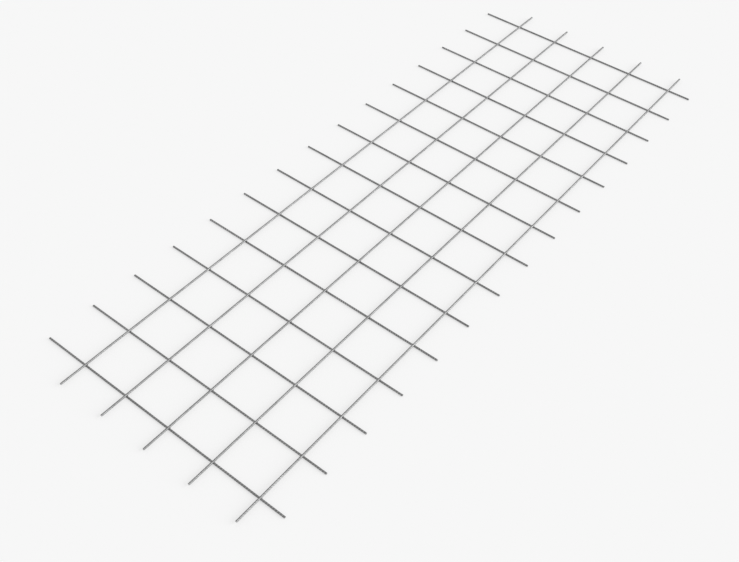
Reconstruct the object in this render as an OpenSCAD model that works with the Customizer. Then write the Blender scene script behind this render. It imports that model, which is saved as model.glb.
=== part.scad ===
// Flat panel of welded wire mesh: ribbed reinforcing wire in a square grid.
// The long wires run along X and lie on top of the cross wires, which run along Y.
// The cross wires stand out farther on the +Y side, where the next panel would lap it.
// Origin: centre of the panel's footprint, on the plane that the cross wires rest on.

/* [Grid] */
// Number of long wires, side by side across the panel
long_count = 5; // [2:1:7]
// Number of cross wires along the panel
cross_count = 15; // [2:1:20]
// Spacing of the long wires, centre to centre
long_spacing = 100; // [50:5:150]
// Spacing of the cross wires, centre to centre
cross_spacing = 100; // [50:5:150]

/* [Wire] */
// Diameter of the long wires
long_d = 4; // [3:0.5:6]
// Diameter of the cross wires
cross_d = 4; // [3:0.5:6]

/* [Welds] */
// Depth to which a long wire is pressed into each cross wire
weld_depth = 0.8; // [0.4:0.1:1.2]
// Reach of the squeezed-out metal past the patch where two wires are pressed together
bead_lip = 1.25; // [0.5:0.25:2]
// Rise of the squeezed-out metal up each wire past the pressed depth
bead_rise = 0.5; // [0.25:0.25:1]

/* [Ends] */
// Length of the long wires beyond the first cross wire
start_overhang = 55; // [10:5:75]
// Length of the long wires beyond the last cross wire
end_overhang = 55; // [10:5:75]
// Length of the cross wires beyond the outer long wire on the +Y side
left_overhang = 95; // [10:5:120]
// Length of the cross wires beyond the outer long wire on the -Y side
right_overhang = 50; // [10:5:120]

/* [Hidden] */
// Flat sides round a wire and round a weld; a multiple of four lays a flat on the ground
wire_sides = 12;
bead_sides = 8;

// Overall length and width of the panel
panel_length = start_overhang + (cross_count - 1) * cross_spacing + end_overhang;
panel_width = right_overhang + (long_count - 1) * long_spacing + left_overhang;

// Heights of the two layers of wire, and of the seam where they are welded
cross_z = cross_d / 2;
long_z = cross_d - weld_depth + long_d / 2;
seam_z = cross_d - weld_depth / 2;

// Half the width of a wire where the seam cuts it, and the bead round the wider of the two
function half_patch(d) = sqrt(weld_depth / 2 * (d - weld_depth / 2));
bead_d = 2 * (max(half_patch(long_d), half_patch(cross_d)) + bead_lip);
bead_height = weld_depth + 2 * bead_rise;

// Where the wires lie, from the first one on each side
cross_x = [for (i = [0 : cross_count - 1]) -panel_length / 2 + start_overhang + i * cross_spacing];
long_y = [for (i = [0 : long_count - 1]) -panel_width / 2 + right_overhang + i * long_spacing];

// A round bar made with flat sides: its diameter is measured across the flats, with a flat below
module flat_sided_bar(d, h, sides) {
    rotate([0, 0, 180 / sides])
        cylinder(d = d / cos(180 / sides), h = h, center = true, $fn = sides);
}

// A straight wire along X, centred on the origin
module wire(d, length) {
    rotate([0, 90, 0]) flat_sided_bar(d, length, wire_sides);
}

module long_wires() {
    for (y = long_y)
        translate([0, y, long_z]) wire(long_d, panel_length);
}

module cross_wires() {
    for (x = cross_x)
        translate([x, 0, cross_z]) rotate([0, 0, 90]) wire(cross_d, panel_width);
}

// The metal squeezed out of each weld fills the notch between two crossed wires
module weld_beads() {
    for (x = cross_x, y = long_y)
        translate([x, y, seam_z]) flat_sided_bar(bead_d, bead_height, bead_sides);
}

// The whole panel is one piece of steel once it is welded
module mesh_panel() {
    color("dimgray")
        union() {
            long_wires();
            cross_wires();
            weld_beads();
        }
}

mesh_panel();
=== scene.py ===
"""Welded wire mesh panel: ribbed wires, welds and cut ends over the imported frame."""
import math

import bpy
from mathutils import Matrix, Vector


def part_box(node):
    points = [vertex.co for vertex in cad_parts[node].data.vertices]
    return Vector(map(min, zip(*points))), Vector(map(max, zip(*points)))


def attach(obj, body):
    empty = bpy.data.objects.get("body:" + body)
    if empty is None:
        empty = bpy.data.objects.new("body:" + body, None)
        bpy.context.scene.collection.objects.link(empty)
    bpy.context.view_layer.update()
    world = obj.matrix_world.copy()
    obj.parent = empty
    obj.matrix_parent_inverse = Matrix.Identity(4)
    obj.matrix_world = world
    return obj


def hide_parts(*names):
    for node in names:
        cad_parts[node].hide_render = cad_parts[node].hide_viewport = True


# The grid, in metres, as the solids have it
CELL = 0.1
LONG_WIRES = 5
CROSS_WIRES = 15
WIRE_D = 0.004
END_FREE = 0.055
LAP_SIDE_FREE = 0.095
PLAIN_SIDE_FREE = 0.05
WELD_DEPTH = 0.0008

# Each piece of wires: its name, first wire, number of wires and seed
LONG_PIECES = (("long_wires_right", 0, 3, 11), ("long_wires_left", 3, 2, 41))
CROSS_PIECES = (("cross_wires_near", 0, 8, 23), ("cross_wires_far", 8, 7, 53))
BEAD_SEED = 5

# What is added to a piece's seed for each further thing that is drawn at random
STAGGER_DRAW = 3
BEAD_SIZE_DRAW = 5
CUT_DRAW = 7
TONE_DRAW = 9

# The round core of a wire, with its rings gathered round the welds, where it is pressed
CORE_D = 0.00374
CORE_SIDES = 20
RINGS_PER_CELL = 7
RING_GATHER = 0.9

# The ribs on it: the wire's nominal size lies between the core and the rib crests
RIB_ROWS = 3
ROW_STEP = 2 * math.pi / RIB_ROWS
RIB_PITCH = 0.005
RIB_SLANT = math.tan(math.radians(30))
RIB_HALF_ARC = math.radians(57)
RIB_SEGMENTS = 6
RIB_HEIGHT = 0.00024
RIB_WIDTH = 0.0017
RIB_SINK = 0.00008

# A rib's width at its crest as a share of its foot, and at its tips as a share of its middle
RIB_CREST_SHARE = 0.5
RIB_TIP_SHARE = 0.6

# The lower this is, the nearer to its tips a rib keeps its height
RIB_FALL = 0.7

# What welding leaves on a wire: a pressed flat and scale round it
PRESS_HALF_LENGTH = 0.0022
PRESS_FADE = 0.0028
PRESS_FLAT = 0.0001
HEAT_REACH = 0.009

# The lumpy bead squeezed out of a weld
BEAD_REACH = 0.0031
BEAD_RISE = 0.0012
BEAD_SMALLEST = 0.88
BEAD_LARGEST = 1.08
BEAD_SUBDIVISIONS = 3
LUMP_HEIGHT = 0.0007
LUMPS_PER_METRE = 520.0

# What the shears leave on a wire's ends
CUT_LENGTH = 0.0016
CUT_SLOPE = 0.0005
CUT_PINCH = 0.07
CUT_FACE_NORMAL = 0.8
END_STAGGER = 0.0008

# Heights on the cut face between which it turns from torn to smooth, where 1 is the core's top
TORN_BELOW = -0.35
SMOOTH_ABOVE = 0.15

# How far a wire wanders between welds, and how much it changes from cell to cell and wire to wire
BOW_SIDEWAYS = 0.0005
BOW_UPWARD = 0.0001
BOW_PER_CELL = 0.9
BOW_PER_WIRE = 3.7

# Edges that turn by more than this are left sharp
SHARP_ANGLE = math.radians(60)

# The drawn surface: how fine its marks are, in repeats per metre
STREAKS_ALONG = 60
STREAKS_ACROSS = 2600
BLOTCHES_PER_METRE = 38.0
GRAINS_PER_METRE = 2400.0
WELD_MARKS_PER_METRE = 900
WELD_BLOTCHES_PER_METRE = 400.0

# Where the noise behind each mask starts and ends its step, and the streaks' share of the bump
STREAK_MASK = (0.3, 0.7)
BLOTCH_MASK = (0.35, 0.68)
STREAK_BUMP_SHARE = 0.6

# Bare drawn steel, between the ribs and on their crests; the crests' lighter grey is partly wear from
# rubbing and partly painted highlight
STEEL_DULL = 0.21
STEEL_BRIGHT = 0.53
STEEL_METALLIC = 0.9
STEEL_ROUGHNESS = 0.42
BLOTCH_POLISH = 0.1
STEEL_BUMP = 0.4
STEEL_BUMP_HEIGHT = 0.0002

# What patches, streaks and the valleys between ribs make of the dull grey; the valleys' darkness is
# partly scale and partly painted shade
DARK_PATCH = 0.82
LIGHT_PATCH = 1.2
STREAKED = 1.5
VALLEY = 0.5

# How much of the patches is a wire's own tone, and how strong the streaks and the valleys' painted shade
# are
TONE_SHARE = 0.5
STREAK_STRENGTH = 0.5
VALLEY_STRENGTH = 0.7

# The valleys' darkness, partly painted shade, starts, and is full, at these values of a wave that is 1
# at each rib
VALLEY_STARTS = 0.9
VALLEY_FULL = -0.3

# How the crests are lightened, partly wear from rubbing and partly painted highlight: by streaks and by
# blotches, and less of it where the wire was heated
CREST_STREAKS = 0.7
CREST_BLOTCHES = 0.6
RUB_AND_HIGHLIGHT_STRENGTH = 1.2
RUB_AND_HIGHLIGHT_LOST_TO_HEAT = 0.8

# How strong the valleys' painted shade and the crests' lighter grey are on each layer of wire: the
# layers differ to stand in for how the light falls on each
LONG_CONTRAST = 0.3
CROSS_CONTRAST = 0.7

# The scale round a weld, and the torn and the smooth part of a cut face
SCALE_GREY = 0.13
SCALE_STRENGTH = 0.5
TORN_DARK = 0.12
TORN_LIGHT = 0.24
SHEARED_GREY = 0.42

# The metal of the beads
WELD_DARK = 0.09
WELD_LIGHT = 0.22
WELD_METALLIC = 0.8
WELD_ROUGHNESS = 0.45
WELD_ROUGHENING = 0.2
WELD_BUMP = 0.5
WELD_BUMP_HEIGHT = 0.0003

# The photograph's view, worked out from where the crossings lie in it
PHOTO_W = 739
CAMERA_AT = Vector((-1.267, -0.783, 1.3314))
CAMERA_LOOKS_AT = Vector((-0.2741, -0.0103, 0.0))
CAMERA_ROLL = math.radians(2.033)
CAMERA_FOCUS_PX = 984.0
CAMERA_SHIFT_PX = 40.0
SENSOR_MM = 36.0

# The studio: an even white room, and one broad soft light from low down on the right
BACKDROP = 0.93
FLOOR_GLOW = 0.6
ROOM_LIGHT = 0.73
KEY_FROM = Vector((0.5, -0.78, 0.37))
KEY_LIGHT = 0.27
KEY_BREADTH = math.radians(50)
FLOOR_REACH = 60.0


# Node helpers

def give(tree, socket, value):
    """Links a socket to another, or sets its plain value."""
    if isinstance(value, bpy.types.NodeSocket):
        tree.links.new(value, socket)
    else:
        socket.default_value = value


def put(tree, kind, inputs=None, **settings):
    """Adds a node, applies its settings and fills its named inputs."""
    node = tree.nodes.new(kind)
    for name, value in settings.items():
        setattr(node, name, value)
    for name, value in (inputs or {}).items():
        socket = next(s for s in node.inputs if s.name == name and s.enabled)
        give(tree, socket, value)
    return node


def out(node, name=None):
    """The output in use that has this name, or the first one in use."""
    return next(s for s in node.outputs if s.enabled and (name is None or s.name == name))


def calc(tree, operation, *terms, clamp=False):
    """One Math node on numbers or sockets."""
    node = tree.nodes.new("ShaderNodeMath")
    node.operation = operation
    node.use_clamp = clamp
    for socket, term in zip(node.inputs, terms):
        give(tree, socket, term)
    return node.outputs[0]


def plus(tree, first, second):
    return calc(tree, "ADD", first, second)


def minus(tree, first, second):
    return calc(tree, "SUBTRACT", first, second)


def times(tree, first, second):
    return calc(tree, "MULTIPLY", first, second)


def over(tree, first, second):
    return calc(tree, "DIVIDE", first, second)


def nearest_whole(tree, value, lowest, highest):
    """The whole number nearest to a value, but no lower than lowest and no higher than highest."""
    at_least = calc(tree, "MAXIMUM", calc(tree, "ROUND", value), lowest)
    return calc(tree, "MINIMUM", at_least, highest)


def vector(tree, x=0.0, y=0.0, z=0.0):
    return out(put(tree, "ShaderNodeCombineXYZ", {"X": x, "Y": y, "Z": z}))


def parts_of(tree, vec):
    return put(tree, "ShaderNodeSeparateXYZ", {"Vector": vec}).outputs


def fade(tree, value, low, high, to_low=0.0, to_high=1.0):
    """A smooth step from to_low at low to to_high at high."""
    return out(put(tree, "ShaderNodeMapRange", {
        "Value": value, "From Min": low, "From Max": high, "To Min": to_low, "To Max": to_high,
    }, interpolation_type="SMOOTHSTEP"))


def new_tree(name, inputs):
    """A Geometry Nodes tree with named inputs, each a (name, socket type, default)."""
    tree = bpy.data.node_groups.new(name, "GeometryNodeTree")
    tree.is_modifier = True
    for label, kind, default in inputs:
        socket = tree.interface.new_socket(label, in_out="INPUT", socket_type=kind)
        if default is not None:
            socket.default_value = default
    tree.interface.new_socket("Geometry", in_out="OUTPUT", socket_type="NodeSocketGeometry")
    ports = {s.name: s for s in tree.nodes.new("NodeGroupInput").outputs if s.name}
    return tree, ports


def end_tree(tree, geometry):
    tree.links.new(geometry, tree.nodes.new("NodeGroupOutput").inputs["Geometry"])


def end_smooth(tree, geometry, material):
    """Ends a tree with smooth faces of one material."""
    smooth = out(put(tree, "GeometryNodeSetShadeSmooth", {"Geometry": geometry}))
    faced = put(tree, "GeometryNodeSetMaterial", {"Geometry": smooth, "Material": material})
    end_tree(tree, out(faced))


def position(tree):
    return out(put(tree, "GeometryNodeInputPosition"))


def store(tree, geometry, name, value, domain="POINT"):
    return out(put(tree, "GeometryNodeStoreNamedAttribute", {
        "Geometry": geometry, "Name": name, "Value": value,
    }, data_type="FLOAT", domain=domain))


def recall(tree, name):
    node = put(tree, "GeometryNodeInputNamedAttribute", {"Name": name}, data_type="FLOAT")
    return out(node, "Attribute")


def random_number(tree, low, high, number, seed):
    return out(put(tree, "FunctionNodeRandomValue", {
        "Min": low, "Max": high, "ID": number, "Seed": seed,
    }, data_type="FLOAT"))


def line_of_points(tree, count, offset, start=(0, 0, 0)):
    return out(put(tree, "GeometryNodeMeshLine", {
        "Count": count, "Start Location": start, "Offset": offset,
    }, mode="OFFSET"))


def joined(tree, *geometries):
    node = tree.nodes.new("GeometryNodeJoinGeometry")
    for geometry in reversed(geometries):
        tree.links.new(geometry, node.inputs["Geometry"])
    return node.outputs["Geometry"]


# The wires

def crescent_rib_tree():
    """One rib lying slantwise over the core's top, highest in its middle and running out at its tips."""
    tree, size = new_tree("Crescent Rib", [
        ("Core Radius", "NodeSocketFloat", CORE_D / 2),
        ("Height", "NodeSocketFloat", RIB_HEIGHT),
        ("Width", "NodeSocketFloat", RIB_WIDTH),
        ("Half Arc", "NodeSocketFloat", RIB_HALF_ARC),
        ("Slant", "NodeSocketFloat", RIB_SLANT),
    ])
    block = out(put(tree, "GeometryNodeMeshCube", {
        "Size": (1, 2, 1), "Vertices X": 2, "Vertices Y": RIB_SEGMENTS + 1, "Vertices Z": 2,
    }))
    across, along, up = parts_of(tree, position(tree))
    swell = calc(tree, "POWER", minus(tree, 1.0, times(tree, along, along)), RIB_FALL)
    is_crest = calc(tree, "GREATER_THAN", up, 0.0)
    angle = times(tree, along, size["Half Arc"])
    # The foot lies under the core's surface, and so do the tips of the crest, half as deep
    over_foot = plus(tree, times(tree, swell, size["Height"]), RIB_SINK / 2)
    lift = plus(tree, times(tree, is_crest, over_foot), -RIB_SINK)
    radius = plus(tree, size["Core Radius"], lift)
    narrow = minus(tree, 1.0, times(tree, is_crest, 1 - RIB_CREST_SHARE))
    spread = calc(tree, "MULTIPLY_ADD", swell, 1 - RIB_TIP_SHARE, RIB_TIP_SHARE)
    width = times(tree, times(tree, size["Width"], narrow), spread)
    slide = times(tree, times(tree, angle, size["Core Radius"]), size["Slant"])
    place = vector(
        tree,
        calc(tree, "MULTIPLY_ADD", across, width, slide),
        times(tree, radius, calc(tree, "SINE", angle)),
        times(tree, radius, calc(tree, "COSINE", angle)),
    )
    marked = store(tree, block, "crest", times(tree, is_crest, swell))
    marked = store(tree, marked, "rib_phase", 0.0)
    end_tree(tree, out(put(tree, "GeometryNodeSetPosition", {"Geometry": marked, "Position": place})))
    return tree


def rib_count_and_start(tree, size):
    """How many ribs the wire has room for in a row, and where the first one stands."""
    usable = minus(tree, size["Length"], 2 * RIB_PITCH)
    count = plus(tree, calc(tree, "FLOOR", over(tree, usable, size["Rib Pitch"])), 1)
    reach = times(tree, minus(tree, count, 1), size["Rib Pitch"])
    return count, times(tree, reach, -0.5)


def rib_phase(tree, size, x, y, z):
    """Counts rib pitches along the core, following each row's slant: a whole number lies under a rib."""
    start = rib_count_and_start(tree, size)[1]
    angle = calc(tree, "ARCTAN2", y, z)
    row = nearest_whole(tree, over(tree, angle, ROW_STEP), -1.0, 1.0)
    own_angle = minus(tree, angle, times(tree, row, ROW_STEP))
    # -1 for the row on top, which slants against the other two, and 1 for those
    way = calc(tree, "MULTIPLY_ADD", calc(tree, "ABSOLUTE", row), 2.0, -1.0)
    slant = times(tree, way, RIB_SLANT)
    slide = times(tree, times(tree, own_angle, size["Core Radius"]), slant)
    return over(tree, minus(tree, minus(tree, x, slide), start), size["Rib Pitch"])


def core_of_wire(tree, size):
    """The round core along X, with its rings gathered at the welds and one close to each end."""
    length = size["Length"]
    steps = calc(tree, "ROUND", over(tree, length, CELL / RINGS_PER_CELL))
    rod = put(tree, "GeometryNodeMeshCylinder", {
        "Vertices": CORE_SIDES, "Side Segments": steps, "Radius": size["Core Radius"], "Depth": length,
    }, fill_type="NGON").outputs["Mesh"]
    x, y, z = parts_of(tree, position(tree))

    from_start = calc(tree, "MULTIPLY_ADD", length, 0.5, z)
    cells = over(tree, minus(tree, from_start, size["First Weld"]), CELL)
    past_first = calc(tree, "GREATER_THAN", cells, -0.5)
    before_last = calc(tree, "LESS_THAN", cells, minus(tree, size["Welds"], 0.5))
    wave = calc(tree, "SINE", times(tree, cells, 2 * math.pi))
    among_welds = times(tree, wave, times(tree, past_first, before_last))
    gathered = plus(tree, z, times(tree, among_welds, -RING_GATHER * CELL / (2 * math.pi)))

    half = times(tree, length, 0.5)
    step = over(tree, length, steps)
    to_end = minus(tree, half, calc(tree, "ABSOLUTE", z))
    off_end = calc(tree, "GREATER_THAN", to_end, times(tree, step, 0.5))
    next_to_end = calc(tree, "LESS_THAN", to_end, times(tree, step, 1.5))
    close_to_end = times(tree, calc(tree, "SIGN", z), minus(tree, half, CUT_LENGTH))
    shift = times(tree, times(tree, off_end, next_to_end), minus(tree, close_to_end, gathered))

    place = vector(tree, plus(tree, gathered, shift), x, y)
    laid = out(put(tree, "GeometryNodeSetPosition", {"Geometry": rod, "Position": place}))
    plain = store(tree, laid, "crest", 0.0)
    phase = rib_phase(tree, size, *parts_of(tree, position(tree)))
    return store(tree, plain, "rib_phase", phase)


def ribs_of_wire(tree, size, rib):
    """Three rows of ribs round the wire, one row slanting against the other two."""
    rows = []
    for row in range(RIB_ROWS):
        group = put(tree, "GeometryNodeGroup", {
            "Core Radius": size["Core Radius"],
            "Height": size["Rib Height"],
            "Width": size["Rib Width"],
            "Slant": RIB_SLANT if row else -RIB_SLANT,
        }, node_tree=rib)
        rows.append(out(put(tree, "GeometryNodeTransform", {
            "Geometry": group.outputs["Geometry"], "Rotation": (row * ROW_STEP, 0, 0),
        })))
    ring = joined(tree, *rows)
    count, start = rib_count_and_start(tree, size)
    line = line_of_points(tree, count, vector(tree, size["Rib Pitch"]), vector(tree, start))
    return out(put(tree, "GeometryNodeInstanceOnPoints", {"Points": line, "Instance": ring}))


def press_and_cut(tree, size, geometry):
    """Flattens each wire where the electrode pressed it, and shears its two ends.

    Also returns how many cells a point lies past the first weld, and the number of its wire.
    """
    x, y, z = parts_of(tree, position(tree))
    number = recall(tree, "wire")
    own_y = minus(tree, y, times(tree, number, size["Spacing"]))
    half = times(tree, size["Length"], 0.5)
    cells = over(tree, minus(tree, plus(tree, x, half), size["First Weld"]), CELL)
    weld = nearest_whole(tree, cells, 0.0, minus(tree, size["Welds"], 1.0))
    gap = times(tree, calc(tree, "ABSOLUTE", minus(tree, cells, weld)), CELL)
    height = over(tree, z, size["Core Radius"])

    pressed = fade(tree, gap, PRESS_HALF_LENGTH, PRESS_HALF_LENGTH + PRESS_FADE, 1.0, 0.0)
    outer = plus(tree, size["Core Radius"], size["Rib Height"])
    limit = minus(tree, outer, times(tree, pressed, plus(tree, size["Rib Height"], PRESS_FLAT)))
    side = size["Electrode Side"]
    flat_z = times(tree, side, calc(tree, "MINIMUM", times(tree, side, z), limit))

    to_end = minus(tree, half, calc(tree, "ABSOLUTE", x))
    ending = fade(tree, to_end, 0.0, CUT_LENGTH, 1.0, 0.0)
    draw = calc(tree, "MULTIPLY_ADD", number, 2.0, calc(tree, "SIGN", x))
    seed = plus(tree, size["Seed"], CUT_DRAW)
    slope = times(tree, random_number(tree, -CUT_SLOPE, CUT_SLOPE, draw, seed), ending)
    widen = times(tree, times(tree, own_y, ending), CUT_PINCH / 2)
    squeeze = minus(tree, 1.0, times(tree, ending, CUT_PINCH))
    place = vector(
        tree,
        plus(tree, x, times(tree, height, slope)),
        plus(tree, y, widen),
        times(tree, flat_z, squeeze),
    )
    marked = store(tree, geometry, "heat", fade(tree, gap, BEAD_REACH, HEAT_REACH, 1.0, 0.0))
    marked = store(tree, marked, "sheared", fade(tree, height, TORN_BELOW, SMOOTH_ABOVE))
    shaped = out(put(tree, "GeometryNodeSetPosition", {"Geometry": marked, "Position": place}))

    normal_x = parts_of(tree, out(put(tree, "GeometryNodeInputNormal")))[0]
    facing = calc(tree, "GREATER_THAN", calc(tree, "ABSOLUTE", normal_x), CUT_FACE_NORMAL)
    at_end = calc(tree, "LESS_THAN", to_end, CUT_LENGTH)
    cut = store(tree, shaped, "cut", times(tree, facing, at_end), domain="FACE")
    return cut, cells, number


def bow_between_welds(tree, size, geometry, cells, number):
    """Lets each wire wander a little between its welds, and not at them."""
    wave = calc(tree, "SINE", times(tree, cells, math.pi))
    free = times(tree, wave, wave)
    along = times(tree, cells, BOW_PER_CELL)
    aside = times(tree, number, BOW_PER_WIRE)
    noise = put(tree, "ShaderNodeTexNoise", {
        "Vector": vector(tree, along, aside, size["Seed"]), "Scale": 1.0, "Detail": 1.0,
    })
    drift = parts_of(tree, noise.outputs["Color"])
    sideways = times(tree, minus(tree, drift[0], 0.5), size["Bow Sideways"])
    upward = times(tree, drift[1], size["Bow Upward"])
    offset = vector(tree, 0.0, times(tree, sideways, free), times(tree, upward, free))
    return out(put(tree, "GeometryNodeSetPosition", {"Geometry": geometry, "Offset": offset}))


def ribbed_wires_tree(rib):
    """A row of like wires along X, side by side along Y, then turned and put in place."""
    tree, size = new_tree("Ribbed Wires", [
        ("Length", "NodeSocketFloat", 1.0),
        ("Count", "NodeSocketInt", 1),
        ("Spacing", "NodeSocketFloat", CELL),
        ("Core Radius", "NodeSocketFloat", CORE_D / 2),
        ("Rib Height", "NodeSocketFloat", RIB_HEIGHT),
        ("Rib Width", "NodeSocketFloat", RIB_WIDTH),
        ("Rib Pitch", "NodeSocketFloat", RIB_PITCH),
        ("First Weld", "NodeSocketFloat", END_FREE),
        ("Welds", "NodeSocketInt", 2),
        ("Electrode Side", "NodeSocketFloat", 1.0),
        ("Bow Sideways", "NodeSocketFloat", BOW_SIDEWAYS),
        ("Bow Upward", "NodeSocketFloat", BOW_UPWARD),
        ("Turn", "NodeSocketFloat", 0.0),
        ("Place", "NodeSocketVector", (0, 0, 0)),
        ("Seed", "NodeSocketInt", 1),
        ("Material", "NodeSocketMaterial", None),
    ])
    wire = joined(tree, core_of_wire(tree, size), ribs_of_wire(tree, size, rib))
    line = line_of_points(tree, size["Count"], vector(tree, 0.0, size["Spacing"]))
    index = out(put(tree, "GeometryNodeInputIndex"))
    tone = random_number(tree, 0.0, 1.0, index, plus(tree, size["Seed"], TONE_DRAW))
    roll = random_number(tree, 0.0, 2 * math.pi, index, size["Seed"])
    stagger_seed = plus(tree, size["Seed"], STAGGER_DRAW)
    stagger = random_number(tree, -END_STAGGER, END_STAGGER, index, stagger_seed)
    numbered = store(tree, line, "wire", index)
    numbered = store(tree, numbered, "tone", tone)
    staggered = out(put(tree, "GeometryNodeSetPosition", {
        "Geometry": numbered, "Offset": vector(tree, stagger),
    }))
    row = out(put(tree, "GeometryNodeInstanceOnPoints", {
        "Points": staggered, "Instance": wire, "Rotation": vector(tree, roll),
    }))
    real = out(put(tree, "GeometryNodeRealizeInstances", {"Geometry": row}))
    bowed = bow_between_welds(tree, size, *press_and_cut(tree, size, real))
    turn = vector(tree, 0.0, 0.0, size["Turn"])
    placed = out(put(tree, "GeometryNodeTransform", {
        "Geometry": bowed, "Translation": size["Place"], "Rotation": turn,
    }))
    end_smooth(tree, placed, size["Material"])
    return tree


def weld_beads_tree():
    """A lump of squeezed-out metal at every crossing, each of its own shape."""
    tree, size = new_tree("Weld Beads", [
        ("Long Wires", "NodeSocketInt", LONG_WIRES),
        ("Cross Wires", "NodeSocketInt", CROSS_WIRES),
        ("Spacing", "NodeSocketFloat", CELL),
        ("Reach", "NodeSocketFloat", BEAD_REACH),
        ("Rise", "NodeSocketFloat", BEAD_RISE),
        ("Lumps", "NodeSocketFloat", LUMP_HEIGHT),
        ("Place", "NodeSocketVector", (0, 0, 0)),
        ("Seed", "NodeSocketInt", 1),
        ("Material", "NodeSocketMaterial", None),
    ])
    ball = out(put(tree, "GeometryNodeMeshIcoSphere", {
        "Radius": 1.0, "Subdivisions": BEAD_SUBDIVISIONS,
    }))
    shape = vector(tree, size["Reach"], size["Reach"], size["Rise"])
    bead = out(put(tree, "GeometryNodeTransform", {"Geometry": ball, "Scale": shape}))
    column = line_of_points(tree, size["Long Wires"], vector(tree, 0.0, size["Spacing"]))
    row = line_of_points(tree, size["Cross Wires"], vector(tree, size["Spacing"]))
    grid = out(put(tree, "GeometryNodeInstanceOnPoints", {"Points": row, "Instance": column}))
    points = out(put(tree, "GeometryNodeRealizeInstances", {"Geometry": grid}))
    index = out(put(tree, "GeometryNodeInputIndex"))
    spin = random_number(tree, 0.0, 2 * math.pi, index, size["Seed"])
    grow_seed = plus(tree, size["Seed"], BEAD_SIZE_DRAW)
    grow = random_number(tree, BEAD_SMALLEST, BEAD_LARGEST, index, grow_seed)
    beads = out(put(tree, "GeometryNodeInstanceOnPoints", {
        "Points": points,
        "Instance": bead,
        "Rotation": vector(tree, 0.0, 0.0, spin),
        "Scale": vector(tree, grow, grow, 1.0),
    }))
    real = out(put(tree, "GeometryNodeRealizeInstances", {"Geometry": beads}))
    noise = put(tree, "ShaderNodeTexNoise", {
        "Vector": position(tree), "Scale": LUMPS_PER_METRE, "Detail": 2.0,
    })
    away = put(tree, "ShaderNodeVectorMath", operation="SCALE")
    give(tree, away.inputs[0], out(put(tree, "GeometryNodeInputNormal")))
    give(tree, away.inputs["Scale"], times(tree, minus(tree, out(noise), 0.5), size["Lumps"]))
    lumpy = out(put(tree, "GeometryNodeSetPosition", {"Geometry": real, "Offset": out(away)}))
    placed = out(put(tree, "GeometryNodeTransform", {
        "Geometry": lumpy, "Translation": size["Place"],
    }))
    end_smooth(tree, placed, size["Material"])
    return tree


def make_piece(name, tree, values):
    """Runs a tree with these values on an empty mesh and keeps the result as a plain mesh."""
    piece = bpy.data.objects.new(name, bpy.data.meshes.new(name))
    bpy.context.collection.objects.link(piece)
    modifier = piece.modifiers.new("Build", "NODES")
    modifier.node_group = tree
    for socket in tree.interface.items_tree:
        if socket.in_out == "INPUT" and socket.name in values:
            modifier[socket.identifier] = values[socket.name]
    evaluated = piece.evaluated_get(bpy.context.evaluated_depsgraph_get())
    mesh = bpy.data.meshes.new_from_object(evaluated)
    piece.modifiers.remove(modifier)
    piece.data = mesh
    mesh.name = name
    mesh.set_sharp_from_angle(angle=SHARP_ANGLE)
    return piece


# Finishes

def grey(value):
    return (value, value, value, 1.0)


def attribute(tree, name):
    return put(tree, "ShaderNodeAttribute", attribute_name=name).outputs["Fac"]


def mix_colour(tree, factor, first, second):
    node = put(tree, "ShaderNodeMix", data_type="RGBA")
    give(tree, node.inputs["Factor"], factor)
    colours = [s for s in node.inputs if s.enabled and s.type == "RGBA"]
    give(tree, colours[0], first)
    give(tree, colours[1], second)
    return out(node)


def bare_material(name):
    material = bpy.data.materials.new(name)
    material.use_nodes = True
    return material, material.node_tree, material.node_tree.nodes["Principled BSDF"]


def drawn_steel_group():
    """Streaks along the wire and soft blotches, as masks from 0 to 1 and a height for the bump."""
    tree = bpy.data.node_groups.new("Drawn Steel", "ShaderNodeTree")
    inputs = (
        ("Stretch", "NodeSocketVector", (STREAKS_ALONG, STREAKS_ACROSS, STREAKS_ACROSS)),
        ("Blotch Scale", "NodeSocketFloat", BLOTCHES_PER_METRE),
    )
    for label, kind, default in inputs:
        tree.interface.new_socket(label, in_out="INPUT", socket_type=kind).default_value = default
    for label in ("Streaks", "Blotches", "Height"):
        tree.interface.new_socket(label, in_out="OUTPUT", socket_type="NodeSocketFloat")
    ports = tree.nodes.new("NodeGroupInput").outputs
    where = put(tree, "ShaderNodeTexCoord").outputs["Object"]
    stretched = put(tree, "ShaderNodeVectorMath", operation="MULTIPLY")
    give(tree, stretched.inputs[0], where)
    give(tree, stretched.inputs[1], ports["Stretch"])
    streaks = out(put(tree, "ShaderNodeTexNoise", {
        "Vector": out(stretched), "Scale": 1.0, "Detail": 2.0,
    }))
    blotches = out(put(tree, "ShaderNodeTexNoise", {
        "Vector": where, "Scale": ports["Blotch Scale"], "Detail": 4.0, "Roughness": 0.65,
    }))
    grain = out(put(tree, "ShaderNodeTexNoise", {
        "Vector": where, "Scale": GRAINS_PER_METRE, "Detail": 2.0,
    }))
    streak_bump = times(tree, streaks, STREAK_BUMP_SHARE)
    height = plus(tree, streak_bump, times(tree, grain, 1 - STREAK_BUMP_SHARE))
    exits = tree.nodes.new("NodeGroupOutput").inputs
    tree.links.new(fade(tree, streaks, *STREAK_MASK), exits["Streaks"])
    tree.links.new(fade(tree, blotches, *BLOTCH_MASK), exits["Blotches"])
    tree.links.new(height, exits["Height"])
    return tree


def drawn_metal(name, group, surface, metallic, bump, bump_height):
    """A metal with the drawn steel group placed in it, and the group's bump on its surface."""
    material, tree, shader = bare_material(name)
    steel = put(tree, "ShaderNodeGroup", node_tree=group)
    for label, value in surface.items():
        steel.inputs[label].default_value = value
    shader.inputs["Metallic"].default_value = metallic
    raised = put(tree, "ShaderNodeBump", {
        "Strength": bump, "Distance": bump_height, "Height": steel.outputs["Height"],
    })
    give(tree, shader.inputs["Normal"], raised.outputs["Normal"])
    return material, tree, shader, steel.outputs["Streaks"], steel.outputs["Blotches"]


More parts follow.
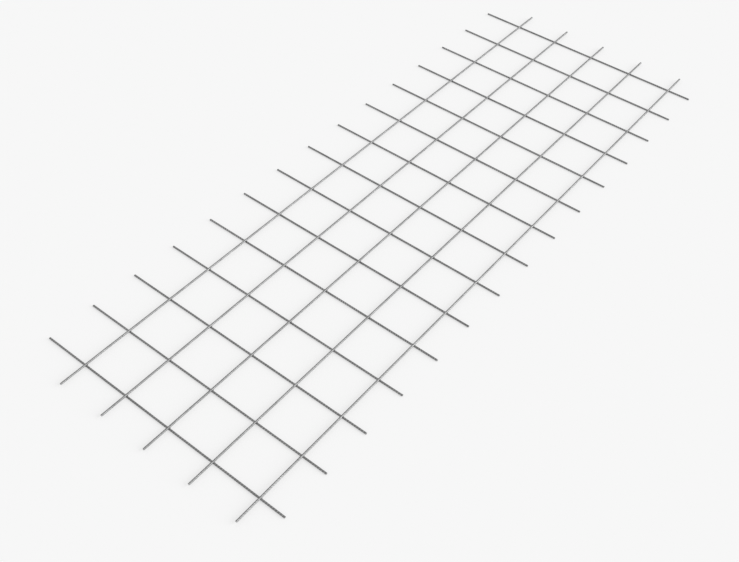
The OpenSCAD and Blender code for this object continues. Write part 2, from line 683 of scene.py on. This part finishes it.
def ribbed_steel(name, group, stretch, contrast):
    """Dull drawn wire: darker between its ribs, partly scale and partly painted shade; lighter on their
    crests, partly wear from rubbing and partly painted highlight; scaled round the welds.
    """
    material, tree, shader, streaks, blotches = drawn_metal(
        name, group, {"Stretch": stretch}, STEEL_METALLIC, STEEL_BUMP, STEEL_BUMP_HEIGHT)
    tone = times(tree, attribute(tree, "tone"), TONE_SHARE)
    patches = calc(tree, "MULTIPLY_ADD", blotches, 1 - TONE_SHARE, tone)
    body = mix_colour(tree, patches, grey(STEEL_DULL * DARK_PATCH), grey(STEEL_DULL * LIGHT_PATCH))
    streaky = times(tree, streaks, STREAK_STRENGTH)
    drawn = mix_colour(tree, streaky, body, grey(STEEL_DULL * STREAKED))

    # The valleys between ribs are darkened: partly scale, partly painted shade
    wave = calc(tree, "COSINE", times(tree, attribute(tree, "rib_phase"), 2 * math.pi))
    valley = fade(tree, wave, VALLEY_STARTS, VALLEY_FULL)
    shaded = times(tree, valley, VALLEY_STRENGTH * contrast)
    dusky = mix_colour(tree, shaded, drawn, grey(STEEL_DULL * VALLEY))

    heat = attribute(tree, "heat")
    # The crests are lightened: partly wear from rubbing, partly painted highlight
    crest_breakup = calc(tree, "MULTIPLY_ADD", streaks, CREST_STREAKS, times(tree, blotches, CREST_BLOTCHES))
    rub_and_highlight = calc(tree, "MULTIPLY_ADD", heat, -RUB_AND_HIGHLIGHT_LOST_TO_HEAT * contrast, RUB_AND_HIGHLIGHT_STRENGTH * contrast)
    wear_and_highlight = calc(tree, "MULTIPLY", attribute(tree, "crest"), times(tree, crest_breakup, rub_and_highlight), clamp=True)
    rubbed_and_highlit = mix_colour(tree, wear_and_highlight, dusky, grey(STEEL_BRIGHT))
    scaled = mix_colour(tree, times(tree, heat, SCALE_STRENGTH), rubbed_and_highlit, grey(SCALE_GREY))

    torn = mix_colour(tree, streaks, grey(TORN_DARK), grey(TORN_LIGHT))
    face = mix_colour(tree, attribute(tree, "sheared"), torn, grey(SHEARED_GREY))
    colour = mix_colour(tree, attribute(tree, "cut"), scaled, face)
    give(tree, shader.inputs["Base Color"], colour)
    rough = calc(tree, "MULTIPLY_ADD", blotches, -BLOTCH_POLISH, STEEL_ROUGHNESS)
    give(tree, shader.inputs["Roughness"], rough)
    return material


def weld_metal(group):
    """Dark scaled metal with a lumpy skin."""
    surface = {"Stretch": (WELD_MARKS_PER_METRE,) * 3, "Blotch Scale": WELD_BLOTCHES_PER_METRE}
    material, tree, shader, streaks, blotches = drawn_metal(
        "weld_metal", group, surface, WELD_METALLIC, WELD_BUMP, WELD_BUMP_HEIGHT)
    colour = mix_colour(tree, blotches, grey(WELD_DARK), grey(WELD_LIGHT))
    give(tree, shader.inputs["Base Color"], colour)
    rough = calc(tree, "MULTIPLY_ADD", streaks, WELD_ROUGHENING, WELD_ROUGHNESS)
    give(tree, shader.inputs["Roughness"], rough)
    return material


# Studio

def backdrop_rays(tree):
    """1 for the rays in which the backdrop is seen, directly or in a shiny or clear surface."""
    light = put(tree, "ShaderNodeLightPath").outputs
    seen = calc(tree, "MAXIMUM", light["Is Camera Ray"], light["Is Transmission Ray"])
    return calc(tree, "MAXIMUM", seen, light["Is Glossy Ray"])


def make_floor():
    """The floor glows a little for the camera, which thins the shadow on it and keeps it there."""
    mesh = bpy.data.meshes.new("floor")
    corners = [(x * FLOOR_REACH, y * FLOOR_REACH, 0) for x, y in ((-1, -1), (1, -1), (1, 1), (-1, 1))]
    mesh.from_pydata(corners, [], [(0, 1, 2, 3)])
    floor = bpy.data.objects.new("floor", mesh)
    bpy.context.collection.objects.link(floor)
    material, tree, shader = bare_material("pale_floor")
    shader.inputs["Base Color"].default_value = grey(BACKDROP)
    shader.inputs["Roughness"].default_value = 1.0
    shader.inputs["Specular IOR Level"].default_value = 0.0
    material.cycles.emission_sampling = "NONE"
    glow = put(tree, "ShaderNodeEmission", {"Color": grey(BACKDROP), "Strength": 1.0})
    both = put(tree, "ShaderNodeMixShader")
    give(tree, both.inputs[0], times(tree, backdrop_rays(tree), FLOOR_GLOW))
    tree.links.new(shader.outputs["BSDF"], both.inputs[1])
    tree.links.new(glow.outputs["Emission"], both.inputs[2])
    tree.links.new(both.outputs["Shader"], tree.nodes["Material Output"].inputs["Surface"])
    mesh.materials.append(material)


def make_world():
    """Even light all round; the camera and the metal see it as pale as the floor."""
    world = bpy.data.worlds.new("studio")
    world.use_nodes = True
    bpy.context.scene.world = world
    tree = world.node_tree
    plain = tree.nodes["Background"]
    plain.inputs["Color"].default_value = grey(1.0)
    seen = backdrop_rays(tree)
    strength = calc(tree, "MULTIPLY_ADD", seen, BACKDROP - ROOM_LIGHT, ROOM_LIGHT)
    give(tree, plain.inputs["Strength"], strength)


def make_key_light():
    """A broad far light that brightens the floor evenly, by KEY_LIGHT of its own colour."""
    data = bpy.data.lights.new("key", "SUN")
    data.energy = KEY_LIGHT * math.pi / KEY_FROM.normalized().z
    data.angle = KEY_BREADTH
    lamp = bpy.data.objects.new("key", data)
    bpy.context.collection.objects.link(lamp)
    lamp.matrix_world = KEY_FROM.to_track_quat("Z", "Y").to_matrix().to_4x4()


def make_camera():
    data = bpy.data.cameras.new("photo_view")
    data.sensor_fit = "HORIZONTAL"
    data.sensor_width = SENSOR_MM
    data.lens = CAMERA_FOCUS_PX / PHOTO_W * SENSOR_MM
    data.shift_x = CAMERA_SHIFT_PX / PHOTO_W
    camera = bpy.data.objects.new("photo_view", data)
    bpy.context.collection.objects.link(camera)
    level = (CAMERA_LOOKS_AT - CAMERA_AT).to_track_quat("-Z", "Y").to_matrix().to_4x4()
    roll = Matrix.Rotation(CAMERA_ROLL, 4, "Z")
    camera.matrix_world = Matrix.Translation(CAMERA_AT) @ level @ roll
    bpy.context.scene.camera = camera


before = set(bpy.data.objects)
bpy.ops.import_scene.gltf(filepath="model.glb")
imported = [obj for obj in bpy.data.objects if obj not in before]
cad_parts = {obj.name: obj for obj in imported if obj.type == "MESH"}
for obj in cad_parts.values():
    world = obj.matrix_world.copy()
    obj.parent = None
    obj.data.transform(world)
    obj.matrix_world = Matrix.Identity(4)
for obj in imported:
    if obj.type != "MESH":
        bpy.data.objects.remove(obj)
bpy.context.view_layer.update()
low, high = (Vector(corner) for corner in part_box("mesh_panel"))
first_cross_x = low.x + END_FREE
first_long_y = low.y + PLAIN_SIDE_FREE
cross_z = low.z + WIRE_D / 2
long_z = high.z - WIRE_D / 2
seam_z = low.z + WIRE_D - WELD_DEPTH / 2

steel_group = drawn_steel_group()
wires_tree = ribbed_wires_tree(crescent_rib_tree())
along_x = (STREAKS_ALONG, STREAKS_ACROSS, STREAKS_ACROSS)
along_y = (STREAKS_ACROSS, STREAKS_ALONG, STREAKS_ACROSS)
# Two copies of one steel, apart from the streaks' direction: the ribs' painted shade and highlight are
# stronger on the cross wires, for how the light falls on each layer
long_steel = ribbed_steel("long_wire_steel", steel_group, along_x, LONG_CONTRAST)
cross_steel = ribbed_steel("cross_wire_steel", steel_group, along_y, CROSS_CONTRAST)

pieces = []
for name, first, count, seed in LONG_PIECES:
    pieces.append(make_piece(name, wires_tree, {
        "Length": high.x - low.x,
        "Count": count,
        "First Weld": END_FREE,
        "Welds": CROSS_WIRES,
        "Electrode Side": 1.0,
        "Place": (0.0, first_long_y + first * CELL, long_z),
        "Seed": seed,
        "Material": long_steel,
    }))
for name, first, count, seed in CROSS_PIECES:
    pieces.append(make_piece(name, wires_tree, {
        "Length": high.y - low.y,
        "Count": count,
        "First Weld": LAP_SIDE_FREE,
        "Welds": LONG_WIRES,
        "Electrode Side": -1.0,
        "Turn": -math.pi / 2,
        "Place": (first_cross_x + first * CELL, 0.0, cross_z),
        "Seed": seed,
        "Material": cross_steel,
    }))
pieces.append(make_piece("weld_beads", weld_beads_tree(), {
    "Place": (first_cross_x, first_long_y, seam_z),
    "Seed": BEAD_SEED,
    "Material": weld_metal(steel_group),
}))
for piece in pieces:
    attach(piece, "root")
    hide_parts("mesh_panel")

make_floor()
make_world()
make_key_light()
make_camera()
bpy.context.scene.view_settings.view_transform = "Standard"
